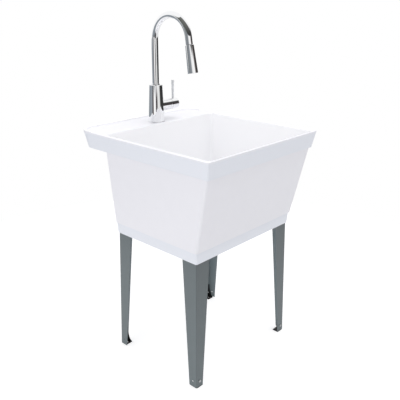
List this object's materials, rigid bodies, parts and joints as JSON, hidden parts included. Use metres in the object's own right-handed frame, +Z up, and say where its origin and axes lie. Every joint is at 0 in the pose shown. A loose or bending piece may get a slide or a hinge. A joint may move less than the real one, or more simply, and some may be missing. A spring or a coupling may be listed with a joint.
{
  "type": "utility laundry sink",
  "caption": "Floor-standing moulded laundry tub on splayed angle-steel legs, with a deck-mounted gooseneck tap, pull-down spray head and side lever.",
  "frame": {"origin": "on the floor, under the middle of the rim", "axes": "+Z up, +Y to the wall behind the deck, +X to the user's right when facing the sink"},
  "size_m": [0.585, 0.642, 1.2562],
  "materials": {
    "white_plastic": "satin",
    "leg_steel": "satin",
    "bracket_steel": "satin",
    "screw_steel": "satin",
    "stainless": "brushed",
    "chrome": "polished",
    "brass": "turned",
    "copper": "drawn tube",
    "rubber": "matt",
    "grey_rubber": "matt",
    "black_plastic": "matt",
    "pipe_plastic": "satin",
    "ceramic": "lapped"
  },
  "bodies": {
    "base": {"cold_inlet": "copper", "drain_body": "stainless", "drain_locknut": "pipe_plastic", "drain_lower_gasket": "rubber", "drain_upper_gasket": "rubber", "foot_bracket_back_left": "bracket_steel", "foot_bracket_back_right": "bracket_steel", "foot_bracket_front_left": "bracket_steel", "foot_bracket_front_right": "bracket_steel", "foot_nuts": "screw_steel", "foot_screws": "screw_steel", "handle_dome": "chrome", "hot_inlet": "copper", "leg_back_left": "leg_steel", "leg_back_right": "leg_steel", "leg_front_left": "leg_steel", "leg_front_right": "leg_steel", "leg_screws": "screw_steel", "mixer_bonnet": "brass", "mixer_cartridge": "black_plastic", "mixer_disc": "ceramic", "swivel_bush": "black_plastic", "swivel_ring": "chrome", "tailpiece": "pipe_plastic", "tailpiece_nut": "pipe_plastic", "tailpiece_washer": "grey_rubber", "tap_base_ring": "chrome", "tap_base_seal": "rubber", "tap_body": "chrome", "tap_mounting_nut": "brass", "tap_rubber_washer": "rubber", "tap_shank": "brass", "tap_steel_washer": "stainless", "tub": "white_plastic"},
    "spout": {"spout": "chrome", "spout_insert": "brass", "spout_orings": "rubber", "docking_collar": "black_plastic"},
    "spray_head": {"spray_head_shell": "chrome", "spray_docking_cone": "black_plastic", "spray_hose": "black_plastic", "spray_water_core": "black_plastic", "spray_face": "black_plastic", "spray_nozzles": "grey_rubber"},
    "mixer": {"mixer_rotor": "black_plastic", "mixer_pivot_pin": "stainless"},
    "handle": {"mixer_stem": "stainless", "handle_hub": "chrome", "handle_lever": "chrome", "handle_set_screw": "screw_steel"},
    "stopper": {"drain_stopper": "rubber"}
  },
  "joints": [
    {"name": "spout_swivel", "type": "hinge", "parent": "base", "child": "spout", "pos_m": [0, 0.2135, 0.992], "axis": [0, 0, 1], "continuous": true},
    {"name": "spray_pull", "type": "slide", "parent": "spout", "child": "spray_head", "axis": [0, -0.1736, -0.9848], "range_m": [0, 0.18], "stiffness_N_per_m": 12, "springref_m": -0.3},
    {"name": "handle_temperature", "type": "hinge", "parent": "base", "child": "mixer", "pos_m": [0.0595, 0.2135, 0.91], "axis": [1, 0, 0], "range_deg": [-45, 45]},
    {"name": "handle_flow", "type": "hinge", "parent": "mixer", "child": "handle", "pos_m": [0.0595, 0.2135, 0.91], "axis": [0, 1, 0], "range_deg": [0, 22]},
    {"name": "stopper_lift", "type": "slide", "parent": "base", "child": "stopper", "axis": [0, 0, 1], "range_m": [0, 0.12]}
  ]
}
